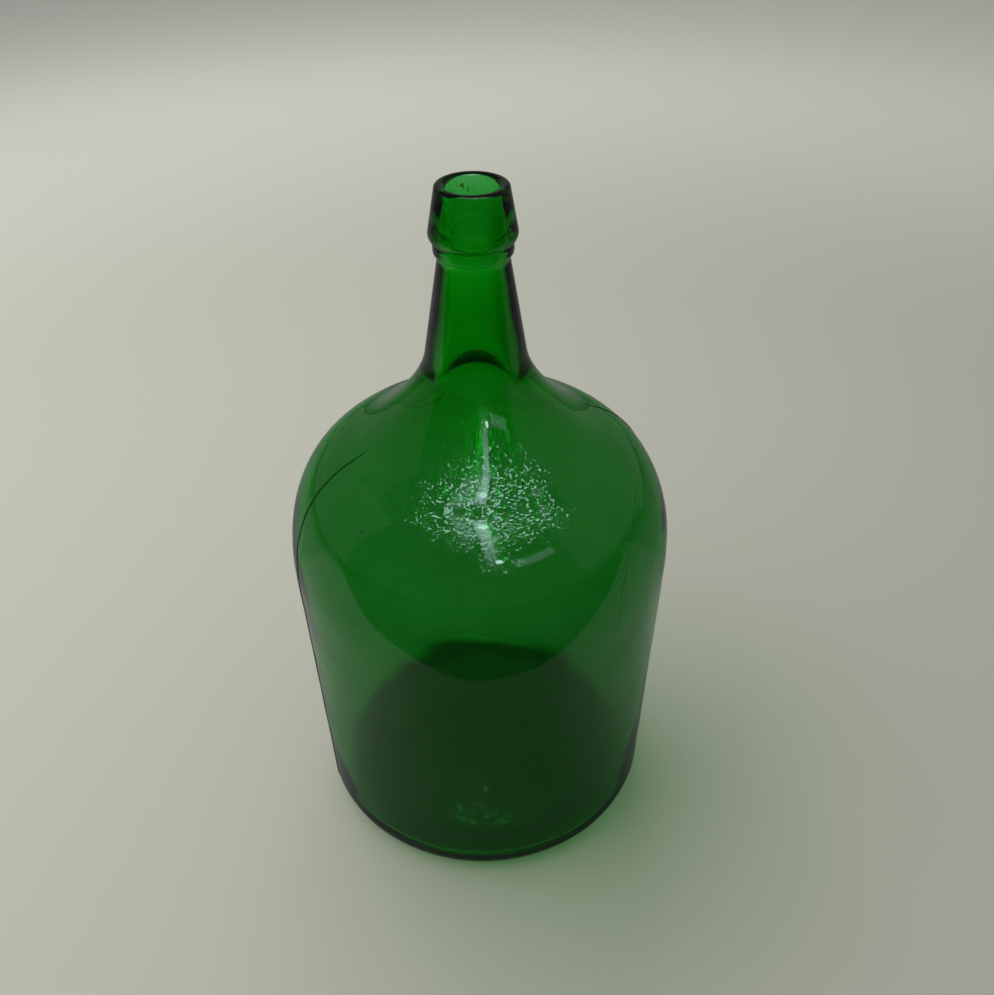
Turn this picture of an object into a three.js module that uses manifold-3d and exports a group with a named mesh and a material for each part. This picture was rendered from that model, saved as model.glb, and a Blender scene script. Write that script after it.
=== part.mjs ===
// A green glass demijohn of about five litres, without cork or cap, in millimetres with +Z up.
// The origin is on the floor, on the bottle's axis. The bottle is three pieces of glass: the body blown
// in a two-part mould with its neck, and the string ring and the mouth collar laid round the neck's end.
import * as THREE from "three";
import { mergeVertices } from "three/addons/utils/BufferGeometryUtils.js";
import Module from "manifold-3d";

// Body, from the floor up
const BODY_RADIUS = 94.5; // widest, at the top of the wall
const WALL_TAPER = 5.2; // how much narrower the wall is at its foot
const WALL_TOP = 155.8; // height at which the shoulder starts
const HEEL_RADIUS = 16; // rounding between floor and wall
const PUSH_UP = 12; // height of the hollow under the base
const FOOT_WIDTH = 9.5; // flat ring that the bottle stands on

// Shoulder: it leaves the wall, turns hollow at the break and runs up into the neck
const SHOULDER_RISE = 67.7; // from the wall's top to the break
const BREAK_INSET = 32.7; // how far inside the widest radius the break lies
const BREAK_SLOPE = 26; // degrees from level at the break
const ROOT_RISE = 44.5; // from the break to the neck's foot
const SHOULDER_FULLNESS = [0.67, 0.65]; // how far each end's tangent holds, 0 to 1
const ROOT_FULLNESS = [0.46, 0.57];
const INNER_ROOT_FULLNESS = [0.45, 0.41]; // the glass is thickest at the neck's root

// Neck, from the bore outwards and from its foot up
const BORE_RADIUS = 9.9; // narrowest
const MOUTH_FLARE = 1.5; // the bore is this much wider at the mouth
const ROOT_FLARE = 7; // and this much wider at its lower end
const BORE_RUN_ON = 13; // how far the bore runs down below the neck's foot
const CORE_WALL = 2.2; // glass of the neck's end, inside ring and collar
const LEDGE = 2; // step that the string ring rests on
const NECK_FLARE = 7.6; // the neck's foot is this much wider than its top
const NECK_RISE = 46.3;
const BORE_WAIST_DROP = 14.3; // from the neck's top down to the narrowest bore

// String ring and mouth collar
const RING_HEIGHT = 5.8;
const RING_PROUD = 1.9; // how far the ring stands out of the neck's top
const COLLAR_HEIGHT = 24.3;
const COLLAR_OVERHANG = 1.8; // how far the collar stands out of the ring
const COLLAR_RIM_WALL = 2.1; // glass of the collar at the rim
const COLLAR_LOWER_ROUNDING = 2.6; // from the collar's lower edge to its widest point
const RIM_ROUNDING = 1.7; // outer edge of the mouth
const LIP_ROUNDING = 0.9; // inner edge of the mouth
const CLEARANCE = 0.3; // between one piece of glass and the next

// Glass thickness
const WALL = 4.2;
const BASE_WALL = 7;

// Mould seams
const SEAM_AZIMUTH = 20; // degrees from +X; the other seam is opposite
const SEAM_WIDTH = 0.9;
const SEAM_PROUD = 0.35;
const SEAM_START = 9; // height at which a seam leaves the heel
const SEAM_INSET = 1; // how far a seam is rooted in the wall
const SEAM_RUN_OUT = 8; // how far above the break a seam dies out

const SEGMENTS = 64; // facets round the axis

// Heights and radii that follow
const breakHeight = WALL_TOP + SHOULDER_RISE;
const neckFoot = breakHeight + ROOT_RISE;
const neckTop = neckFoot + NECK_RISE;
const ringFoot = neckTop + CLEARANCE;
const ringTop = ringFoot + RING_HEIGHT;
const collarFoot = ringTop + CLEARANCE;
const rimHeight = collarFoot + COLLAR_HEIGHT;

const mouthRadius = BORE_RADIUS + MOUTH_FLARE;
const coreRadius = mouthRadius + CORE_WALL;
const neckTopRadius = coreRadius + LEDGE;
const neckFootRadius = neckTopRadius + NECK_FLARE;
const laidOnRadius = coreRadius + CLEARANCE;
const ringRadius = neckTopRadius + RING_PROUD;
const collarRadius = ringRadius + COLLAR_OVERHANG;
const rimRadius = laidOnRadius + COLLAR_RIM_WALL;

const wallFoot = new THREE.Vector2(BODY_RADIUS - WALL_TAPER, HEEL_RADIUS);
const wallTop = new THREE.Vector2(BODY_RADIUS, WALL_TOP);
const wallDirection = wallTop.clone().sub(wallFoot).normalize();
const shoulderBreak = new THREE.Vector2(BODY_RADIUS - BREAK_INSET, breakHeight);
const breakAngle = THREE.MathUtils.degToRad(BREAK_SLOPE);
const breakDirection = new THREE.Vector2(-Math.cos(breakAngle), Math.sin(breakAngle));

// Where the line through a along u meets the line through b along v.
function crossing(a, u, b, v) {
  const along = b.clone().sub(a).cross(v) / u.cross(v);
  return a.clone().addScaledVector(u, along);
}

// A smooth bend from a, leaving along u, to b, arriving along v.
function bend(a, u, b, v, fullness) {
  const corner = crossing(a, u, b, v);
  return new THREE.CubicBezierCurve(
    a,
    a.clone().lerp(corner, fullness[0]),
    b.clone().lerp(corner, fullness[1]),
    b,
  );
}

// Points of an arc about a centre, between two angles in degrees from +r towards +z.
function arc(r, z, radius, from, to, steps) {
  const points = [];
  for (let i = 0; i <= steps; i++) {
    const angle = THREE.MathUtils.degToRad(from + ((to - from) * i) / steps);
    points.push(new THREE.Vector2(r + radius * Math.cos(angle), z + radius * Math.sin(angle)));
  }
  return points;
}

// Points of a dome, from the axis out to its edge.
function dome(edgeRadius, edgeHeight, rise, steps) {
  const radius = (edgeRadius ** 2 + rise ** 2) / (2 * rise);
  const halfAngle = THREE.MathUtils.radToDeg(Math.asin(edgeRadius / radius));
  return arc(0, edgeHeight + rise - radius, radius, 90, 90 - halfAngle, steps);
}

// The same line moved to its left by a distance, which is into the glass on a line that runs up.
function inset(points, distance) {
  return points.map((point, i) => {
    const before = points[Math.max(i - 1, 0)];
    const after = points[Math.min(i + 1, points.length - 1)];
    const along = after.clone().sub(before).normalize();
    return new THREE.Vector2(point.x - along.y * distance, point.y + along.x * distance);
  });
}

// A closed solid turned round +Z from a profile of radius and height.
function turned(profile) {
  const distinct = profile.filter((point, i) => i === 0 || point.distanceTo(profile[i - 1]) > 1e-4);
  return new THREE.LatheGeometry(distinct, SEGMENTS).rotateX(Math.PI / 2);
}

// A thin plate in the plane of the axis, from an outline of radius and height.
function plate(outline, thickness) {
  const shape = new THREE.Shape(outline);
  const geometry = new THREE.ExtrudeGeometry(shape, { depth: thickness, bevelEnabled: false });
  return geometry.translate(0, 0, -thickness / 2).rotateX(Math.PI / 2);
}

// Outside of the body from the flat foot ring to the neck's foot
function outerWall() {
  const heelCentre = wallFoot.x - HEEL_RADIUS;
  const neckDirection = new THREE.Vector2(-NECK_FLARE, NECK_RISE).normalize();
  const foot = new THREE.Vector2(neckFootRadius, neckFoot);
  return {
    heel: arc(heelCentre, HEEL_RADIUS, HEEL_RADIUS, -90, 0, 5),
    shoulder: bend(wallTop, wallDirection, shoulderBreak, breakDirection, SHOULDER_FULLNESS).getPoints(9),
    root: bend(shoulderBreak, breakDirection, foot, neckDirection, ROOT_FULLNESS).getPoints(7),
  };
}

// Inside of the neck from the mouth down into its root, widening both ways from the waist
function bore() {
  const waistHeight = neckTop - BORE_WAIST_DROP;
  const mouthEnd = new THREE.Vector2(mouthRadius, rimHeight - LIP_ROUNDING);
  const waist = new THREE.Vector2(BORE_RADIUS, waistHeight);
  const boreFoot = neckFoot - BORE_RUN_ON;
  const footEnd = new THREE.Vector2(BORE_RADIUS + ROOT_FLARE, boreFoot);
  const aboveWaist = new THREE.Vector2(BORE_RADIUS, (waistHeight + mouthEnd.y) / 2);
  const belowWaist = new THREE.Vector2(BORE_RADIUS, (waistHeight + boreFoot) / 2);
  return {
    upper: new THREE.QuadraticBezierCurve(mouthEnd, aboveWaist, waist),
    lower: new THREE.QuadraticBezierCurve(waist, belowWaist, footEnd),
  };
}

// Body, shoulder and neck with the bore, as one hollow blown piece
function bottleBody() {
  const outside = outerWall();
  const footInner = wallFoot.x - HEEL_RADIUS - FOOT_WIDTH;
  const lipCentre = mouthRadius + LIP_ROUNDING;
  const lip = arc(lipCentre, rimHeight - LIP_ROUNDING, LIP_ROUNDING, 90, 180, 2);

  const { upper, lower } = bore();
  const innerShoulder = inset(outside.shoulder, WALL);
  const innerBreak = innerShoulder[innerShoulder.length - 1];
  const up = lower.getTangent(1).negate();
  const innerRoot = bend(innerBreak, breakDirection, lower.v2, up, INNER_ROOT_FULLNESS);
  const heelRadius = HEEL_RADIUS - WALL;
  const innerHeel = arc(wallFoot.x - HEEL_RADIUS, BASE_WALL + heelRadius, heelRadius, 0, -90, 4);
  const floor = dome(footInner, BASE_WALL, PUSH_UP, 5).reverse();

  return turned([
    ...dome(footInner, 0, PUSH_UP, 5),
    ...outside.heel,
    ...outside.shoulder,
    ...outside.root,
    new THREE.Vector2(neckTopRadius, neckTop),
    new THREE.Vector2(coreRadius, neckTop),
    new THREE.Vector2(coreRadius, rimHeight),
    ...lip,
    ...upper.getPoints(3),
    ...lower.getPoints(3),
    ...innerRoot.getPoints(7).reverse(),
    ...innerShoulder.reverse(),
    ...innerHeel,
    ...floor,
  ]);
}

// The stretch of a rising line between two heights
function between(points, low, high) {
  const stretch = points.filter((point) => point.y > low && point.y < high);
  for (const height of [low, high]) {
    const next = points.findIndex((point) => point.y > height);
    const [below, above] = [points[next - 1], points[next]];
    const cut = below.clone().lerp(above, (height - below.y) / (above.y - below.y));
    if (height === low) stretch.unshift(cut);
    else stretch.push(cut);
  }
  return stretch;
}

// One mould seam: a thin fin that follows the outside from the heel to where it dies out
function seam(azimuth) {
  const outside = outerWall();
  const whole = [...outside.heel, ...outside.shoulder, ...outside.root];
  const line = between(whole, SEAM_START, breakHeight + SEAM_RUN_OUT);
  const proud = inset(line, -SEAM_PROUD);
  proud[0] = line[0];
  proud[proud.length - 1] = line[line.length - 1];
  const fin = plate([...proud, ...inset(line, SEAM_INSET).reverse()], SEAM_WIDTH);
  return fin.rotateZ(THREE.MathUtils.degToRad(azimuth));
}

// String ring: a thin band with a rounded lower edge, round the neck's end on its ledge
function stringRing() {
  const profile = new THREE.Path();
  profile.moveTo(laidOnRadius, ringFoot);
  profile.lineTo(neckTopRadius, ringFoot);
  profile.quadraticCurveTo(ringRadius, ringFoot, ringRadius, ringFoot + RING_HEIGHT / 2);
  profile.lineTo(ringRadius, ringTop);
  profile.lineTo(laidOnRadius, ringTop);
  profile.closePath();
  return turned(profile.getPoints(4));
}

// Mouth collar: widest low down over a rounded lower edge, tapering up to the rounded rim
function mouthCollar() {
  const widest = collarFoot + COLLAR_LOWER_ROUNDING;
  const profile = new THREE.Path();
  profile.moveTo(laidOnRadius, collarFoot);
  profile.lineTo(ringRadius, collarFoot);
  profile.quadraticCurveTo(collarRadius, collarFoot + COLLAR_OVERHANG, collarRadius, widest);
  profile.lineTo(rimRadius, rimHeight - RIM_ROUNDING);
  profile.absarc(rimRadius - RIM_ROUNDING, rimHeight - RIM_ROUNDING, RIM_ROUNDING, 0, Math.PI / 2);
  profile.lineTo(laidOnRadius, rimHeight);
  profile.closePath();
  return turned(profile.getPoints(4));
}

// manifold-3d joins the seams to the body
const wasm = await Module();
wasm.setup();

function toSolid(geometry) {
  const bare = geometry.clone();
  bare.deleteAttribute("normal");
  bare.deleteAttribute("uv");
  const merged = mergeVertices(bare, 1e-4);
  return new wasm.Manifold(
    new wasm.Mesh({
      numProp: 3,
      vertProperties: new Float32Array(merged.attributes.position.array),
      triVerts: new Uint32Array(merged.index.array),
    }),
  );
}

function toGeometry(solid) {
  const { vertProperties, triVerts } = solid.getMesh();
  const geometry = new THREE.BufferGeometry();
  geometry.setAttribute("position", new THREE.BufferAttribute(vertProperties, 3));
  geometry.setIndex(new THREE.BufferAttribute(triVerts, 1));
  geometry.computeVertexNormals();
  return geometry;
}

function bodyWithSeams() {
  const near = toSolid(seam(SEAM_AZIMUTH));
  const far = toSolid(seam(SEAM_AZIMUTH + 180));
  return toGeometry(toSolid(bottleBody()).add(near).add(far));
}

const greenGlass = { roughness: 0.04, metalness: 0, transparent: true };

const demijohn = new THREE.Group();

function addPiece(name, geometry, color, opacity) {
  const material = new THREE.MeshStandardMaterial({ ...greenGlass, color, opacity });
  const mesh = new THREE.Mesh(geometry, material);
  mesh.name = name;
  demijohn.add(mesh);
}

addPiece("bottle_body", bodyWithSeams(), 0x146b1e, 0.6);
addPiece("string_ring", stringRing(), 0x0b4a14, 0.8);
addPiece("mouth_collar", mouthCollar(), 0x0d5418, 0.75);

export default demijohn;
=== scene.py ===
"""A green glass demijohn, dressed for its looks: one continuous body of clear bottle-green glass.

Lengths are written in millimetres and turned into metres where a mesh, node, lamp or camera takes them.
Angles are degrees: azimuths run from +X towards +Y, and the camera stands on the -Y side. The pair of values
for a soft edge in a material or in the world runs from nothing to full.
"""
import math

import bpy
import numpy as np
from mathutils import Matrix, Vector


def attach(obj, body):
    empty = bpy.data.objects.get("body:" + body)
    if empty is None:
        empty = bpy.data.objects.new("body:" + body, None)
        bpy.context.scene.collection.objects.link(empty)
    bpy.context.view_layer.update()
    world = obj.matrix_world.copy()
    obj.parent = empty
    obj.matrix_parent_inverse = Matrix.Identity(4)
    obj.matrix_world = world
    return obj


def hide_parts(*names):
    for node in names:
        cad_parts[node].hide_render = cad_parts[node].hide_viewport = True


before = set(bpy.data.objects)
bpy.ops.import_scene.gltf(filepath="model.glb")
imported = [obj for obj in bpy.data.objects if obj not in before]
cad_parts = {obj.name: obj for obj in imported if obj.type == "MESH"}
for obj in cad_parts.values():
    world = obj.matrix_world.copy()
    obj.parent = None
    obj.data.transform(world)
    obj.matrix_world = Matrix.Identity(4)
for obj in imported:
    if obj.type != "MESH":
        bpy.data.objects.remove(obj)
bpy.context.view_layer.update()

MM = 0.001

# Body, from the floor up
BODY_RADIUS = 94.5
WALL_TAPER = 5.2
WALL_TOP = 155.8
HEEL_RADIUS = 16
PUSH_UP = 12
FOOT_WIDTH = 9.5

# Shoulder and the root of the neck
SHOULDER_RISE = 67.7
BREAK_INSET = 32.7
BREAK_SLOPE = 26
ROOT_RISE = 44.5
SHOULDER_FULLNESS = (0.67, 0.65)
ROOT_FULLNESS = (0.46, 0.57)
INNER_ROOT_FULLNESS = (0.45, 0.41)

# Neck and bore
BORE_RADIUS = 9.9
MOUTH_FLARE = 1.1
ROOT_FLARE = 7
BORE_RUN_ON = 13
NECK_TOP_RADIUS = 15.6
NECK_FLARE = 7.6
NECK_RISE = 46.3
BORE_WAIST_DROP = 14.3

# String ring and mouth collar, melted onto the neck's end
RING_RADIUS = 17.5
RING_FOOT = 314.6
RING_FULL_RISE = 2.8
RING_TURN_DROP = 1.2
RING_TOP = 320.4
GROOVE = 0.25
COLLAR_FOOT = 320.7
COLLAR_RADIUS = 19.3
COLLAR_WIDEST = 325
RIM_RADIUS = 16
RIM_HEIGHT = 345
RIM_ROUNDING = 1.7
RIM_START = 5
LIP_ROUNDING = 2.3

# Handles of the curves between them, outwards and up: from the neck at the ring's foot, from the ring's top,
# from the middle of the groove, and two from the collar's foot
RING_FOOT_HANDLE = (0.2, 0.3)
RING_TOP_HANDLE = (0, -0.3)
GROOVE_HANDLE = (0, -0.25)
COLLAR_LOW_HANDLE = (-1.1, 0.2)
COLLAR_HIGH_HANDLE = (0.1, 2.2)

# Glass thickness
WALL = 4.2
BASE_WALL = 7

# Mould seams
SEAM_AZIMUTH = 20
SEAM_WIDTH = 0.9
SEAM_PROUD = 0.35
SEAM_FADE_IN = (6, 16)
SEAM_FADE_OUT = (222, 232)

# Ripple of the mould outside and of the blown wall inside. Waves: seed of the draw, count, shortest, longest.
# It eases in over a range of heights above the foot and of distances from the axis. The outer one is lowered
# by its peak, so that it stays inside the size of the body.
OUTER_RIPPLE = 0.07
OUTER_WAVES = (7, 26, 16, 60)
OUTER_PEAK = 2.6
OUTER_EASE = (14, 60)
FOOT_EASE = (3, 12)
INNER_RIPPLE = 0.12
INNER_WAVES = (11, 26, 50, 160)
INNER_EASE = (20, 70)

# Seeds, the small air bubbles in the wall: each is drawn within a range of heights and sizes, near mid-wall.
# The margin is the number of points that stay free at both ends of the wall's line.
SEEDS = 26
SEED_DRAW = 5
SEED_MARGIN = 2
SEED_HEIGHTS = (40, 240)
SEED_RADIUS = (0.25, 0.55)
SEED_SPREAD = 0.8
SEED_LENGTH = 1.5
SEED_RINGS = 5
SEED_SIDES = 8

# Fineness of the mesh: columns all round, more of them on each side of a seam, and steps along each run of
# the profile. Points of it that are closer together than REPEATED count as one.
SEGMENTS = 288
SEAM_COLUMNS = (0.05, 0.15, 0.27, 0.4, 0.55, 0.75, 1.0, 1.4)
DOME_STEPS = 24
FOOT_STEPS = 4
HEEL_STEPS = 18
INNER_HEEL_STEPS = 14
WALL_STEPS = 50
SHOULDER_STEPS = 60
ROOT_STEPS = 44
NECK_STEPS = 20
RING_LOW_STEPS = 10
RING_HIGH_STEPS = 8
COLLAR_STEPS = 16
RIM_STEPS = 10
LIP_STEPS = 12
REPEATED = 1e-4

# Glass: index of refraction, absorption of red, green and blue per metre, and how clear it is for soft light.
# The density is set a little above the largest absorption, so that no channel is quite black.
INDEX = 1.46
ABSORPTION = (400, 66, 330)
DENSITY_MARGIN = 1.05
SOFT_LIGHT_TINT = 0.9

# Painted shade that dims the glass in patches up to the neck's root, standing in for the shadowed floor seen
# through the body, and an even darkening of the collar.
# Noise: scale and detail. Patches: times the noise, plus.
BODY_PAINTED_SHADE = 0.64
PAINTED_SHADE_TOP = (262, 225)
PAINTED_SHADE_NOISE = (14, 3)
PAINTED_SHADE_PATCHES = (0.5, 0.75)
COLLAR_DARKENING = 0.84
COLLAR_DARKENING_FOOT = (313, 317)

# Faint bloom, as roughness, and a faint unevenness of the surface
BLOOM_NOISE = (45, 5)
BLOOM_RANGE = (0.5, 0.8)
BLOOM_ROUGHNESS = 0.01
BUMP_NOISE = (120, 2)
BUMP_STRENGTH = 0.12
BUMP_HEIGHT = 0.2

# Dried drops that ran down the bore: upright streaks in one sector of it, in a soft band under the rim
RESIDUE = (0.03, 0.05, 0.02, 1)
RESIDUE_SIDE = (-0.5, 0.85)
RESIDUE_SECTOR = (0.72, 0.9)
RESIDUE_BAND = ((331, 337), (342.5, 341))
RESIDUE_WITHIN = (12.5, 12)
STREAK_SCALE = (900, 900, 330)
STREAK_NOISE = (1, 3)
STREAK_RANGE = (0.56, 0.62)

# Floor, with painted light: paler far out, where the lamps don't reach
FLOOR_COLOUR = (0.60, 0.60, 0.53, 1)
PAINTED_FAR_FLOOR = (0.97, 0.97, 0.90, 1)
DISTANCE = (600, 1600)
FLOOR_SIZE = 8000
FLOOR_DROP = 0.3

# Painted reflection: the floor as the glass mirrors it is painted dimmer, less so at both sides, and dark
# past an edge in front
PAINTED_REFLECTION_FLOOR = (0.24, 0.25, 0.245, 1)
PAINTED_REFLECTION_ASIDE = (0.42, 0.43, 0.41, 1)
ASIDE = (90, 180)
NOT_BEHIND = (160, 70)
PAINTED_REFLECTION_DARK = (0.05, 0.055, 0.055, 1)
FRONT_EDGE = (-212, -218)

# What rays of each kind see of the world: a backdrop for the camera, even light for soft rays, and for rays
# that the glass mirrors or bends a dim room. Heights are degrees above the horizon, and turns are degrees
# from straight behind towards the left.
BACKDROP = (0.50, 0.51, 0.48, 1)
EVEN_LIGHT = (0.285, 0.29, 0.28, 1)
ROOM = 0.05
PALE = (0.97, 1, 0.92)

# A pale cloth hangs behind, under the lower of two sloping edges (rise per degree of turn, and height
# straight behind). On the right it ends.
CLOTH = 0.20
CLOTH_EDGES = ((0.242, 27), (-1.36, 111.5))
CLOTH_BLUR = (-4, 4)
CLOTH_END = (-71, -66)

# Soft light from the left and from the right: brightness, edges in turn and edges in height
SIDE_LIGHTS = (
    (0.19, ((46, 60), (103, 98)), ((58, 42),)),
    (0.20, ((-128, -116), (-24, -40)), ((64, 50), (-2, 8))),
)

# Bent rays see the pale parts brighter, the room itself less dim, and a low band that is brighter again
BENT_MORE = 1.1
BENT_ROOM = 0.15
BENT_LOW = 0.33
LOW_BAND = (32, 10)

# A tall narrow window high in front: a bright streak and a dim pane beside it, each with a strength and edges
# across the window. It lies in the front half, fades in with height and ends short of the zenith. Leaves
# outside dapple it, and the dapple is scaled: times, plus.
WINDOW_LIGHT = (0.72, 0.88, 1)
WINDOW_SIDE = (0.978, 0.208, 0)
STREAK = 6
STREAK_EDGES = ((-0.08, -0.05), (0.045, 0.03))
PANE = 1.5
PANE_EDGES = ((-0.24, -0.22), (0.04, 0.02))
PANE_FOOT = (62, 66)
WINDOW_FADE = (28, 66)
WINDOW_TOP = (85, 81)
WINDOW_BACK = (0.03, -0.03)
LEAF_NOISE = (34, 3)
DAPPLE_RANGE = (0.40, 0.60)
DAPPLE = (0.6, 0.55)

# Small bright spots (azimuth, height, radius, strength) and dim panels (azimuths, heights, strength) near it
WINDOW_SPOTS = ((-75, 40, 1.8, 16), (-80, 76, 2.2, 16))
SPOT_BLUR = (1.25, 0.75)
WINDOW_PANELS = ((-68, -40, 33, 41, 1.1), (-14, 6, 61, 70, 0.8))
PANEL_BLUR = 1

# Specks of sky between leaves, in two patches: azimuth and height, then the angles from there at which the
# patch ends and is full, and its share. They thin out towards the edges and behind the bottle.
SKY_PATCHES = ((-30, 84, (44, 10), 1), (-76, 38, (16, 2), 0.6))
SKY_BACK = (0.30, -0.10)
SKY_EDGE = (0, 0.3)
LEAF_THINNING = 0.12
LEAF_GAPS = (0.675, 0.695)
SPECKLE_LIGHT = 9

# Lamps: azimuth and height above the horizon, distance, the lamp's own width and height, power and colour
LAMPS = {
    "key": (180, 42, 1000, 1400, 1200, 6.8, (1, 0.99, 0.95)),
    "fill": (105, 50, 1600, 1200, 1200, 8, (1, 1, 0.97)),
}

# Camera, fitted to the outline in the photograph
CAMERA_PLACE = (0, -423.57, 501.27)
CAMERA_PITCH = 36.777
CAMERA_YAW = 1.189
CAMERA_ROLL = -0.66
FOCAL_PIXELS = 1060
FRAME_HEIGHT = 995
SENSOR_WIDTH = 36
NEAREST = 10

BREAK_HEIGHT = WALL_TOP + SHOULDER_RISE
NECK_FOOT = BREAK_HEIGHT + ROOT_RISE
NECK_TOP = NECK_FOOT + NECK_RISE
NECK_FOOT_RADIUS = NECK_TOP_RADIUS + NECK_FLARE
MOUTH_RADIUS = BORE_RADIUS + MOUTH_FLARE
FOOT_OUTER = BODY_RADIUS - WALL_TAPER - HEEL_RADIUS
FOOT_INNER = FOOT_OUTER - FOOT_WIDTH


def unit(x, y):
    """The direction of (x, y), one long."""
    return np.array([x, y]) / math.hypot(x, y)


def crossing(a, u, b, v):
    """Where the line through a along u meets the line through b along v."""
    along = np.linalg.solve(np.array([u, -v]).T, b - a)[0]
    return a + u * along


def quadratic(a, b, c, steps):
    """Points of a quadratic Bezier curve."""
    t = np.linspace(0, 1, steps + 1)[:, None]
    return (1 - t) ** 2 * a + 2 * (1 - t) * t * b + t**2 * c


def cubic(a, b, c, d, steps):
    """Points of a cubic Bezier curve."""
    t = np.linspace(0, 1, steps + 1)[:, None]
    return (1 - t) ** 3 * a + 3 * (1 - t) ** 2 * t * b + 3 * (1 - t) * t**2 * c + t**3 * d


def bend(a, u, b, v, fullness, steps):
    """A smooth bend from a, leaving along u, to b, arriving along v."""
    corner = crossing(a, u, b, v)
    return cubic(a, a + (corner - a) * fullness[0], b + (corner - b) * fullness[1], b, steps)


def arc(centre, radius, start, end, steps):
    """Points of an arc, between two angles from outwards towards up."""
    angle = np.radians(np.linspace(start, end, steps + 1))
    return np.column_stack([centre[0] + radius * np.cos(angle), centre[1] + radius * np.sin(angle)])


def dome(edge_radius, edge_height, rise, steps):
    """Points of a dome, from the axis out to its edge."""
    radius = (edge_radius**2 + rise**2) / (2 * rise)
    half = math.degrees(math.asin(edge_radius / radius))
    return arc((0, edge_height + rise - radius), radius, 90, 90 - half, steps)


def line(a, b, steps):
    """Points of a straight line."""
    t = np.linspace(0, 1, steps + 1)[:, None]
    return np.asarray(a) * (1 - t) + np.asarray(b) * t


def inset(points, distance):
    """The same line moved to its left, which is into the glass on a line that runs up."""
    along = np.gradient(points, axis=0)
    along /= np.linalg.norm(along, axis=1)[:, None]
    return points + np.column_stack([-along[:, 1], along[:, 0]]) * distance


def joined(*runs):
    """One line from several, without the points that repeat."""
    points = np.concatenate(runs)
    step = np.linalg.norm(np.diff(points, axis=0), axis=1)
    return points[np.concatenate([[True], step > REPEATED])]


def outer_profile():
    """The outside, from the centre of the push-up to the middle of the rim, and what the inside follows."""
    wall_foot = np.array([BODY_RADIUS - WALL_TAPER, HEEL_RADIUS])
    wall_top = np.array([BODY_RADIUS, WALL_TOP])
    wall_way = unit(*(wall_top - wall_foot))
    slope = math.radians(BREAK_SLOPE)
    break_way = np.array([-math.cos(slope), math.sin(slope)])
    shoulder_break = np.array([BODY_RADIUS - BREAK_INSET, BREAK_HEIGHT])
    neck_foot = np.array([NECK_FOOT_RADIUS, NECK_FOOT])
    neck_way = unit(-NECK_FLARE, NECK_RISE)
    shoulder = bend(wall_top, wall_way, shoulder_break, break_way, SHOULDER_FULLNESS, SHOULDER_STEPS)
    body = joined(
        dome(FOOT_INNER, 0, PUSH_UP, DOME_STEPS),
        line((FOOT_INNER, 0), (FOOT_OUTER, 0), FOOT_STEPS),
        arc((FOOT_OUTER, HEEL_RADIUS), HEEL_RADIUS, -90, 0, HEEL_STEPS),
        line(wall_foot, wall_top, WALL_STEPS),
        shoulder,
        bend(shoulder_break, break_way, neck_foot, neck_way, ROOT_FULLNESS, ROOT_STEPS),
        line(neck_foot, (NECK_TOP_RADIUS, NECK_TOP), NECK_STEPS),
        finish_profile(),
    )
    return body, shoulder, break_way


def finish_profile():
    """String ring, groove, collar and the outer half of the rim, as the fire left them: soft edges."""
    ring_top = np.array([RING_RADIUS, RING_TOP])
    groove = np.array([RING_RADIUS - GROOVE, (RING_TOP + COLLAR_FOOT) / 2])
    collar_foot = np.array([COLLAR_RADIUS, COLLAR_FOOT])
    collar_widest = np.array([COLLAR_RADIUS, COLLAR_WIDEST])
    rim_centre = (RIM_RADIUS - RIM_ROUNDING, RIM_HEIGHT - RIM_ROUNDING)
    return joined(
        cubic(
            np.array([NECK_TOP_RADIUS, NECK_TOP]),
            np.array([NECK_TOP_RADIUS, RING_FOOT]) + RING_FOOT_HANDLE,
            np.array([RING_RADIUS, RING_FOOT]),
            np.array([RING_RADIUS, RING_FOOT + RING_FULL_RISE]),
            RING_LOW_STEPS,
        ),
        cubic(
            ring_top - (0, RING_TURN_DROP),
            ring_top + RING_TOP_HANDLE,
            groove + GROOVE_HANDLE,
            groove,
            RING_HIGH_STEPS,
        ),
        cubic(
            groove,
            collar_foot + COLLAR_LOW_HANDLE,
            collar_foot + COLLAR_HIGH_HANDLE,
            collar_widest,
            COLLAR_STEPS,
        ),
        line(collar_widest, (RIM_RADIUS, RIM_HEIGHT - RIM_ROUNDING), COLLAR_STEPS),
        arc(rim_centre, RIM_ROUNDING, RIM_START, 90, RIM_STEPS),
    )


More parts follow.
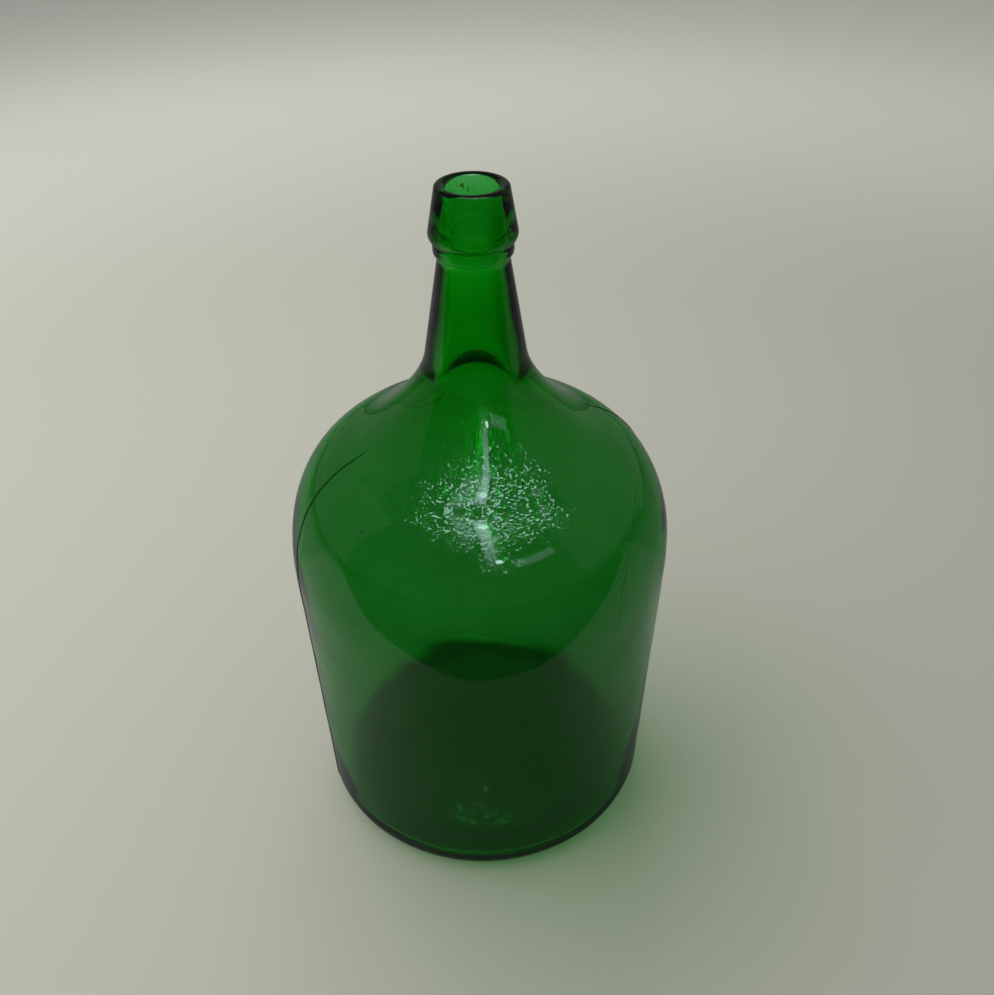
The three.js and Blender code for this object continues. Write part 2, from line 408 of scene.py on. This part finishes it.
def inner_profile(shoulder, break_way):
    """The inside, from the middle of the rim down the bore and the cavity to the floor's centre."""
    waist_height = NECK_TOP - BORE_WAIST_DROP
    lip = (MOUTH_RADIUS + LIP_ROUNDING, RIM_HEIGHT - LIP_ROUNDING)
    mouth_end = np.array([MOUTH_RADIUS, RIM_HEIGHT - LIP_ROUNDING])
    waist = np.array([BORE_RADIUS, waist_height])
    bore_foot = np.array([BORE_RADIUS + ROOT_FLARE, NECK_FOOT - BORE_RUN_ON])
    above = np.array([BORE_RADIUS, (waist_height + mouth_end[1]) / 2])
    below = np.array([BORE_RADIUS, (waist_height + bore_foot[1]) / 2])
    inner_shoulder = inset(shoulder, WALL)
    up = unit(*(below - bore_foot))
    root = bend(inner_shoulder[-1], break_way, bore_foot, up, INNER_ROOT_FULLNESS, ROOT_STEPS)
    heel = HEEL_RADIUS - WALL
    wall_foot = (BODY_RADIUS - WALL_TAPER - WALL, BASE_WALL + heel)
    return joined(
        arc(lip, LIP_ROUNDING, 90, 180, LIP_STEPS),
        quadratic(mouth_end, above, waist, NECK_STEPS),
        quadratic(waist, below, bore_foot, NECK_STEPS),
        root[::-1],
        inner_shoulder[::-1],
        line(inner_shoulder[0], wall_foot, WALL_STEPS),
        arc((FOOT_OUTER, BASE_WALL + heel), heel, 0, -90, INNER_HEEL_STEPS),
        dome(FOOT_INNER, BASE_WALL, PUSH_UP, DOME_STEPS)[::-1],
    )


def azimuths():
    """Angles of the mesh's columns: even all round, and close together across each mould seam."""
    even = np.arange(SEGMENTS) * 360 / SEGMENTS
    spacing = 360 / SEGMENTS
    half = np.array(SEAM_COLUMNS)
    across = np.concatenate([-half[::-1], half])
    seams = (SEAM_AZIMUTH, SEAM_AZIMUTH + 180)
    kept = [a for a in even if all(abs(a - s) > half[-1] + spacing / 2 for s in seams)]
    return np.radians(np.sort(np.concatenate([kept] + [s + across for s in seams])))


def waves(seed, count, shortest, longest):
    """A smooth field over angle and height that runs round without a step, about one high."""
    random = np.random.RandomState(seed)
    length = random.uniform(shortest, longest, count)
    way = random.uniform(0, math.pi, count)
    around = np.round(2 * math.pi * BODY_RADIUS / length * np.cos(way))
    upward = 2 * math.pi / length * np.sin(way)
    phase = random.uniform(0, 2 * math.pi, count)
    size = length / longest

    def field(angle, height):
        total = np.zeros(np.broadcast(angle, height).shape)
        for k in range(count):
            total += size[k] * np.cos(around[k] * angle + upward[k] * height + phase[k])
        return total / math.sqrt((size**2).sum() / 2)

    return field


def smooth(value, low, high):
    """0 below low, 1 above high, with an easy bend between."""
    t = np.clip((value - low) / (high - low), 0, 1)
    return t * t * (3 - 2 * t)


def grid(profile, angles, proud):
    """Points of a turned surface, each moved out along the normal by proud(angle, height, radius)."""
    along = np.gradient(profile, axis=0)
    along /= np.linalg.norm(along, axis=1)[:, None]
    normal = np.column_stack([along[:, 1], -along[:, 0]])
    offset = proud(angles[None, :], profile[:, 1][:, None], profile[:, 0][:, None])
    r = profile[:, 0][:, None] + normal[:, 0][:, None] * offset
    z = profile[:, 1][:, None] + normal[:, 1][:, None] * offset
    return np.stack([r * np.cos(angles), r * np.sin(angles), z], axis=2)


def outer_offset(angle, height, radius):
    """Mould ripple, all of it inwards, and the two seams, none of it on the flat foot."""
    easing = smooth(height, *FOOT_EASE) * smooth(radius, *OUTER_EASE)
    ripple = OUTER_RIPPLE * (waves(*OUTER_WAVES)(angle, height) - OUTER_PEAK) * easing
    near = angle - math.radians(SEAM_AZIMUTH)
    across = np.abs(np.remainder(near + math.pi / 2, math.pi) - math.pi / 2) * radius
    ridge = np.clip(1 - (2 * across / SEAM_WIDTH) ** 2, 0, 1)
    run = smooth(height, *SEAM_FADE_IN) * (1 - smooth(height, *SEAM_FADE_OUT))
    return ripple + SEAM_PROUD * ridge * run


def inner_offset(angle, height, radius):
    """Uneven thickness of blown glass, none of it in the bore."""
    return INNER_RIPPLE * waves(*INNER_WAVES)(angle, height) * smooth(radius, *INNER_EASE)


def seeds(outside, random):
    """Points and faces of small hollow balls inside the glass, their faces turned into the air in them."""
    points, faces = [], []
    lowest, highest = SEED_HEIGHTS
    wall = outside[(outside[:, 1] > lowest) & (outside[:, 1] < highest)]
    rings, sides = SEED_RINGS, SEED_SIDES
    rise = Vector((0, 0, 1))
    for _ in range(SEEDS):
        r, z = wall[random.randint(SEED_MARGIN, len(wall) - SEED_MARGIN)]
        angle = random.uniform(0, 2 * math.pi)
        size = random.uniform(*SEED_RADIUS)
        depth = WALL / 2 + random.uniform(-SEED_SPREAD, SEED_SPREAD)
        out = Vector((math.cos(angle), math.sin(angle), 0))
        centre = out * (r - depth) + rise * (z - depth * smooth(z, WALL_TOP, BREAK_HEIGHT))
        first = len(points)
        points += [centre + rise * size * SEED_LENGTH, centre - rise * size * SEED_LENGTH]
        for i in range(1, rings):
            tilt = math.pi * i / rings
            for k in range(sides):
                turn = 2 * math.pi * k / sides
                flat = Vector((math.cos(turn), math.sin(turn), 0)) * math.sin(tilt)
                points.append(centre + (flat + rise * SEED_LENGTH * math.cos(tilt)) * size)
        ring = [[first + 2 + i * sides + k for k in range(sides)] for i in range(rings - 1)]
        for k in range(sides):
            n = (k + 1) % sides
            faces.append((first, ring[0][n], ring[0][k]))
            faces.append((first + 1, ring[-1][k], ring[-1][n]))
            faces += [(ring[i][k], ring[i][n], ring[i + 1][n], ring[i + 1][k]) for i in range(rings - 2)]
    return points, faces


def turned_faces(rings, columns, first_pole, last_pole):
    """Faces of a closed surface with a point on the axis at both ends."""
    index = np.arange(rings * columns).reshape(rings, columns)
    after = np.roll(index, -1, axis=1)
    quads = np.stack([index[:-1], after[:-1], after[1:], index[1:]], axis=2).reshape(-1, 4)
    faces = [tuple(q) for q in quads.tolist()]
    faces += [(first_pole, b, a) for a, b in zip(index[0].tolist(), after[0].tolist())]
    faces += [(a, b, last_pole) for a, b in zip(index[-1].tolist(), after[-1].tolist())]
    return faces


def glass_body():
    """The bottle as one closed surface: outside, rim, bore and cavity."""
    outside, shoulder, break_way = outer_profile()
    inside = inner_profile(shoulder, break_way)
    angles = azimuths()
    upper = grid(outside, angles, outer_offset)[1:]
    lower = grid(inside, angles, inner_offset)[:-1]
    rings = np.concatenate([upper, lower])
    poles = np.array([[0, 0, outside[0][1]], [0, 0, inside[-1][1]]])
    count = rings.shape[0] * rings.shape[1]
    faces = turned_faces(rings.shape[0], rings.shape[1], count, count + 1)
    seed_points, seed_faces = seeds(outside, np.random.RandomState(SEED_DRAW))
    points = np.concatenate([rings.reshape(-1, 3), poles, np.array(seed_points)]) * MM
    faces += [tuple(i + count + 2 for i in face) for face in seed_faces]
    mesh = bpy.data.meshes.new("glass_body")
    mesh.from_pydata(points.tolist(), [], faces)
    mesh.validate()
    mesh.polygons.foreach_set("use_smooth", [True] * len(mesh.polygons))
    mesh.update()
    body = bpy.data.objects.new("glass_body", mesh)
    bpy.context.collection.objects.link(body)
    return body


def metres(lengths):
    """Lengths in metres, for nodes."""
    return [length * MM for length in lengths]


def cosines(angles):
    """Cosines of angles."""
    return [math.cos(math.radians(angle)) for angle in angles]


def grey(level):
    """A colour without hue."""
    return (level, level, level, 1)


def direction(azimuth, height):
    """The unit vector that points along an azimuth and a height in degrees."""
    a, h = math.radians(azimuth), math.radians(height)
    return Vector((math.cos(a) * math.cos(h), math.sin(a) * math.cos(h), math.sin(h)))


class Nodes:
    """The emptied node tree of a material or world, with short ways to add nodes, links and sums."""

    def __init__(self, owner):
        owner.use_nodes = True
        self.tree = owner.node_tree
        self.tree.nodes.clear()
        self.link = self.tree.links.new

    def add(self, kind, **settings):
        """A new node with some of its settings."""
        node = self.tree.nodes.new(kind)
        for name, value in settings.items():
            setattr(node, name, value)
        return node

    def fill(self, socket, value):
        """Link a socket to another one, or give it a number or a colour."""
        if isinstance(value, bpy.types.NodeSocket):
            self.link(value, socket)
        else:
            socket.default_value = value

    def calc(self, operation, *values):
        """A sum on sockets and numbers."""
        node = self.add("ShaderNodeMath", operation=operation)
        for socket, value in zip(node.inputs, values):
            self.fill(socket, value)
        return node.outputs[0]

    def product(self, first, *others):
        """All the values multiplied."""
        for other in others:
            first = self.calc("MULTIPLY", first, other)
        return first

    def largest(self, first, *others):
        """The largest of the values."""
        for other in others:
            first = self.calc("MAXIMUM", first, other)
        return first

    def step(self, value, low, high):
        """0 at low and 1 at high, with an easy bend between."""
        node = self.add("ShaderNodeMapRange", interpolation_type="SMOOTHSTEP")
        self.fill(node.inputs["Value"], value)
        node.inputs["From Min"].default_value = low
        node.inputs["From Max"].default_value = high
        return node.outputs["Result"]

    def within(self, value, edges):
        """1 where the value is inside all its soft edges."""
        return self.product(*[self.step(value, *edge) for edge in edges])

    def blend(self, factor, a, b):
        """Colour a where the factor is 0, b where it is 1."""
        node = self.add("ShaderNodeMix", data_type="RGBA")
        self.fill(node.inputs["Factor"], factor)
        self.fill(node.inputs["A"], a)
        self.fill(node.inputs["B"], b)
        return node.outputs["Result"]

    def noise(self, vector, scale, detail):
        """Soft noise, around a half."""
        node = self.add("ShaderNodeTexNoise")
        node.inputs["Scale"].default_value = scale
        node.inputs["Detail"].default_value = detail
        self.link(vector, node.inputs["Vector"])
        return node.outputs["Fac"]

    def parts(self, vector):
        """A vector's x, y and z."""
        node = self.add("ShaderNodeSeparateXYZ")
        self.link(vector, node.inputs["Vector"])
        return node.outputs

    def along(self, vector, way):
        """How far a vector reaches along a fixed way."""
        node = self.add("ShaderNodeVectorMath", operation="DOT_PRODUCT")
        self.link(vector, node.inputs[0])
        node.inputs[1].default_value = way
        return node.outputs["Value"]

    def reach(self, x, y):
        """Distance from the bottle's axis."""
        return self.calc("SQRT", self.calc("ADD", self.product(x, x), self.product(y, y)))


def residue(n, place):
    """Where the bore is marked: thin upright streaks in one sector of it, under the rim."""
    x, y, z = n.parts(place)
    squeezed = n.add("ShaderNodeMapping")
    squeezed.inputs["Scale"].default_value = STREAK_SCALE
    n.link(place, squeezed.inputs["Vector"])
    streaks = n.step(n.noise(squeezed.outputs["Vector"], *STREAK_NOISE), *STREAK_RANGE)
    radius = n.reach(x, y)
    toward = n.calc("ADD", n.product(x, RESIDUE_SIDE[0]), n.product(y, RESIDUE_SIDE[1]))
    sector = n.step(n.calc("DIVIDE", toward, radius), *RESIDUE_SECTOR)
    band = n.within(z, [metres(edge) for edge in RESIDUE_BAND])
    inside = n.step(radius, *metres(RESIDUE_WITHIN))
    return n.product(streaks, sector, band, inside)


def green_glass():
    """Clear bottle-green glass: its depth gives the colour, a painted shade dims the body in patches, and the
    collar is evenly darker.
    """
    material = bpy.data.materials.new("green_glass")
    n = Nodes(material)
    place = n.add("ShaderNodeTexCoord").outputs["Object"]
    z = n.parts(place)["Z"]

    # Painted shade: patches that dim the body below the neck's root stand in for the shadowed floor seen
    # through it; the collar is evenly darker.
    shade_patches = n.calc("MULTIPLY_ADD", n.noise(place, *PAINTED_SHADE_NOISE), *PAINTED_SHADE_PATCHES)
    darkened = n.blend(n.step(z, *metres(COLLAR_DARKENING_FOOT)), grey(1), grey(COLLAR_DARKENING))
    darkened = n.blend(n.product(n.step(z, *metres(PAINTED_SHADE_TOP)), shade_patches), darkened, grey(BODY_PAINTED_SHADE))
    bump = n.add("ShaderNodeBump")
    bump.inputs["Strength"].default_value = BUMP_STRENGTH
    bump.inputs["Distance"].default_value = BUMP_HEIGHT * MM
    n.link(n.noise(place, *BUMP_NOISE), bump.inputs["Height"])
    glass = n.add("ShaderNodeBsdfPrincipled")
    glass.inputs["Transmission Weight"].default_value = 1
    glass.inputs["IOR"].default_value = INDEX
    n.link(n.blend(residue(n, place), darkened, RESIDUE), glass.inputs["Base Color"])
    bloom = n.step(n.noise(place, *BLOOM_NOISE), *BLOOM_RANGE)
    n.link(n.product(bloom, BLOOM_ROUGHNESS), glass.inputs["Roughness"])
    n.link(bump.outputs["Normal"], glass.inputs["Normal"])

    clear = n.add("ShaderNodeBsdfTransparent")
    clear.inputs["Color"].default_value = grey(SOFT_LIGHT_TINT)
    path = n.add("ShaderNodeLightPath").outputs
    surface = n.add("ShaderNodeMixShader")
    n.link(n.largest(path["Is Shadow Ray"], path["Is Diffuse Ray"]), surface.inputs["Fac"])
    n.link(glass.outputs["BSDF"], surface.inputs[1])
    n.link(clear.outputs["BSDF"], surface.inputs[2])

    density = max(ABSORPTION) * DENSITY_MARGIN
    depth = n.add("ShaderNodeVolumeAbsorption")
    depth.inputs["Color"].default_value = (*[1 - a / density for a in ABSORPTION], 1)
    depth.inputs["Density"].default_value = density

    out = n.add("ShaderNodeOutputMaterial")
    n.link(surface.outputs["Shader"], out.inputs["Surface"])
    n.link(depth.outputs["Volume"], out.inputs["Volume"])
    return material


def floor_material():
    """Pale and plain. Mirrored in the glass it shows a painted reflection: dimmer, less so at both sides, and
    dark past an edge a little in front, as if a cloth ended there.
    """
    material = bpy.data.materials.new("pale_floor")
    n = Nodes(material)
    x, y, _ = n.parts(n.add("ShaderNodeTexCoord").outputs["Object"])
    # Painted light: the floor is paler far out, where the lamps' light falls off
    direct = n.blend(n.step(n.reach(x, y), *metres(DISTANCE)), FLOOR_COLOUR, PAINTED_FAR_FLOOR)
    # Painted reflection: the floor as the glass mirrors it is dimmer, lighter at both sides and dark past the
    # front edge
    aside = n.step(n.calc("ABSOLUTE", x), *metres(ASIDE))
    aside = n.product(aside, n.step(y, *metres(NOT_BEHIND)))
    painted_reflection = n.blend(aside, PAINTED_REFLECTION_FLOOR, PAINTED_REFLECTION_ASIDE)
    painted_reflection = n.blend(n.step(y, *metres(FRONT_EDGE)), painted_reflection, PAINTED_REFLECTION_DARK)
    path = n.add("ShaderNodeLightPath").outputs
    bounced = n.calc("SUBTRACT", path["Is Glossy Ray"], path["Is Transmission Ray"])
    matt = n.add("ShaderNodeBsdfDiffuse")
    n.link(n.blend(n.largest(bounced, 0), direct, painted_reflection), matt.inputs["Color"])
    out = n.add("ShaderNodeOutputMaterial")
    n.link(matt.outputs["BSDF"], out.inputs["Surface"])
    return material


def floor():
    """A large plane just under the foot."""
    half = FLOOR_SIZE / 2 * MM
    z = -FLOOR_DROP * MM
    corners = [(-half, -half, z), (half, -half, z), (half, half, z), (-half, half, z)]
    mesh = bpy.data.meshes.new("floor")
    mesh.from_pydata(corners, [], [(0, 1, 2, 3)])
    mesh.materials.append(floor_material())
    plane = bpy.data.objects.new("floor", mesh)
    bpy.context.collection.objects.link(plane)


def pale_parts(n, x, y, height, bent):
    """Brightness of the room, its cloth and its side lights, more of it for bent rays."""
    turn = n.calc("DEGREES", n.calc("ARCTAN2", n.product(x, -1), y))
    rise, fall = [n.calc("MULTIPLY_ADD", turn, *edge) for edge in CLOTH_EDGES]
    under = n.step(n.calc("SUBTRACT", n.calc("MINIMUM", rise, fall), height), *CLOTH_BLUR)
    pale = n.product(under, n.step(turn, *CLOTH_END), CLOTH)
    for light, turns, heights in SIDE_LIGHTS:
        pale = n.largest(pale, n.product(n.within(turn, turns), n.within(height, heights), light))
    pale = n.product(pale, n.calc("MULTIPLY_ADD", bent, BENT_MORE, 1))
    low = n.calc("MULTIPLY_ADD", n.step(height, *LOW_BAND), BENT_LOW, BENT_ROOM - ROOM)
    return n.largest(pale, n.calc("MULTIPLY_ADD", bent, low, ROOM))


def window(n, way, y, height, leaves):
    """Brightness of the window's streak and pane, dappled by leaves."""
    across = n.along(way, WINDOW_SIDE)
    streak = n.product(n.within(across, STREAK_EDGES), STREAK)
    pane = n.product(n.within(across, PANE_EDGES), PANE, n.step(height, *PANE_FOOT))
    lit = n.product(n.calc("ADD", streak, pane), n.step(height, *WINDOW_FADE))
    ends = n.product(n.step(height, *WINDOW_TOP), n.step(y, *WINDOW_BACK))
    return n.product(lit, ends, n.calc("MULTIPLY_ADD", n.step(leaves, *DAPPLE_RANGE), *DAPPLE))


def speckles(n, way, y, leaves):
    """Brightness of the sky between leaves."""
    sky = 0
    for azimuth, height, angles, share in SKY_PATCHES:
        patch = n.step(n.along(way, direction(azimuth, height)), *cosines(angles))
        sky = n.largest(n.product(patch, share), sky)
    sky = n.product(sky, n.step(y, *SKY_BACK))
    gaps = n.step(n.calc("MULTIPLY_ADD", sky, LEAF_THINNING, leaves), *LEAF_GAPS)
    return n.product(gaps, n.step(sky, *SKY_EDGE), SPECKLE_LIGHT)


def spots(n, way):
    """Brightness of each small spot."""
    for azimuth, height, radius, light in WINDOW_SPOTS:
        edge = cosines([radius * blur for blur in SPOT_BLUR])
        yield n.product(n.step(n.along(way, direction(azimuth, height)), *edge), light)


def panels(n, x, y, height):
    """Brightness of each dim panel."""
    azimuth = n.calc("DEGREES", n.calc("ARCTAN2", y, x))
    for first, last, low, high, light in WINDOW_PANELS:
        across = n.within(azimuth, [(first, first + PANEL_BLUR), (last, last - PANEL_BLUR)])
        upright = n.within(height, [(low, low + PANEL_BLUR), (high, high - PANEL_BLUR)])
        yield n.product(across, upright, light)


def surroundings():
    """The room for mirrored and bent rays, a backdrop for the camera, and even light for the rest."""
    world = bpy.data.worlds.new("surroundings")
    bpy.context.scene.world = world
    n = Nodes(world)
    way = n.add("ShaderNodeTexCoord").outputs["Generated"]
    x, y, z = n.parts(way)
    height = n.calc("DEGREES", n.calc("ARCSINE", z))
    leaves = n.noise(way, *LEAF_NOISE)
    path = n.add("ShaderNodeLightPath").outputs
    bent = path["Is Transmission Ray"]
    pale = pale_parts(n, x, y, height, bent)
    bright = n.largest(
        window(n, way, y, height, leaves),
        speckles(n, way, y, leaves),
        *spots(n, way),
        *panels(n, x, y, height),
    )

    room = n.add("ShaderNodeMix", data_type="RGBA", blend_type="ADD")
    room.inputs["Factor"].default_value = 1
    for slot, tint, amount in (("A", PALE, pale), ("B", WINDOW_LIGHT, bright)):
        scaled = n.add("ShaderNodeVectorMath", operation="SCALE")
        scaled.inputs[0].default_value = tint
        n.link(amount, scaled.inputs["Scale"])
        n.link(scaled.outputs["Vector"], room.inputs[slot])

    seen = n.blend(n.largest(path["Is Glossy Ray"], bent), EVEN_LIGHT, room.outputs["Result"])
    background = n.add("ShaderNodeBackground")
    n.link(n.blend(path["Is Camera Ray"], seen, BACKDROP), background.inputs["Color"])
    out = n.add("ShaderNodeOutputWorld")
    n.link(background.outputs["Background"], out.inputs["Surface"])


def area_lamp(name, azimuth, elevation, distance, width, height, power, colour):
    """A soft lamp that faces the bottle, not seen in the glass."""
    data = bpy.data.lights.new(name, "AREA")
    data.shape = "RECTANGLE"
    data.size = width * MM
    data.size_y = height * MM
    data.energy = power
    data.color = colour
    lamp = bpy.data.objects.new(name, data)
    way = direction(azimuth, elevation)
    target = Vector((0, 0, RIM_HEIGHT / 2 * MM))
    lamp.location = target + way * distance * MM
    lamp.rotation_mode = "QUATERNION"
    lamp.rotation_quaternion = way.to_track_quat("Z", "Y")
    lamp.visible_glossy = False
    lamp.visible_transmission = False
    lamp.visible_camera = False
    bpy.context.collection.objects.link(lamp)


def camera():
    """The photograph's viewpoint."""
    data = bpy.data.cameras.new("camera")
    data.sensor_width = SENSOR_WIDTH
    data.lens = data.sensor_width * FOCAL_PIXELS / FRAME_HEIGHT
    data.clip_start = NEAREST * MM
    eye = bpy.data.objects.new("camera", data)
    turn = Matrix.Rotation(-math.radians(CAMERA_YAW), 4, "Z")
    tilt = Matrix.Rotation(math.radians(90 - CAMERA_PITCH), 4, "X")
    lean = Matrix.Rotation(math.radians(CAMERA_ROLL), 4, "Z")
    eye.matrix_world = Matrix.Translation(Vector(CAMERA_PLACE) * MM) @ turn @ tilt @ lean
    bpy.context.collection.objects.link(eye)
    bpy.context.scene.camera = eye


camera()
floor()
surroundings()
for lamp_name, lamp_settings in LAMPS.items():
    area_lamp(lamp_name, *lamp_settings)

bottle = glass_body()
bottle.data.materials.append(green_glass())
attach(bottle, "root")
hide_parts("bottle_body", "string_ring", "mouth_collar")

bpy.context.scene.view_settings.view_transform = "Standard"
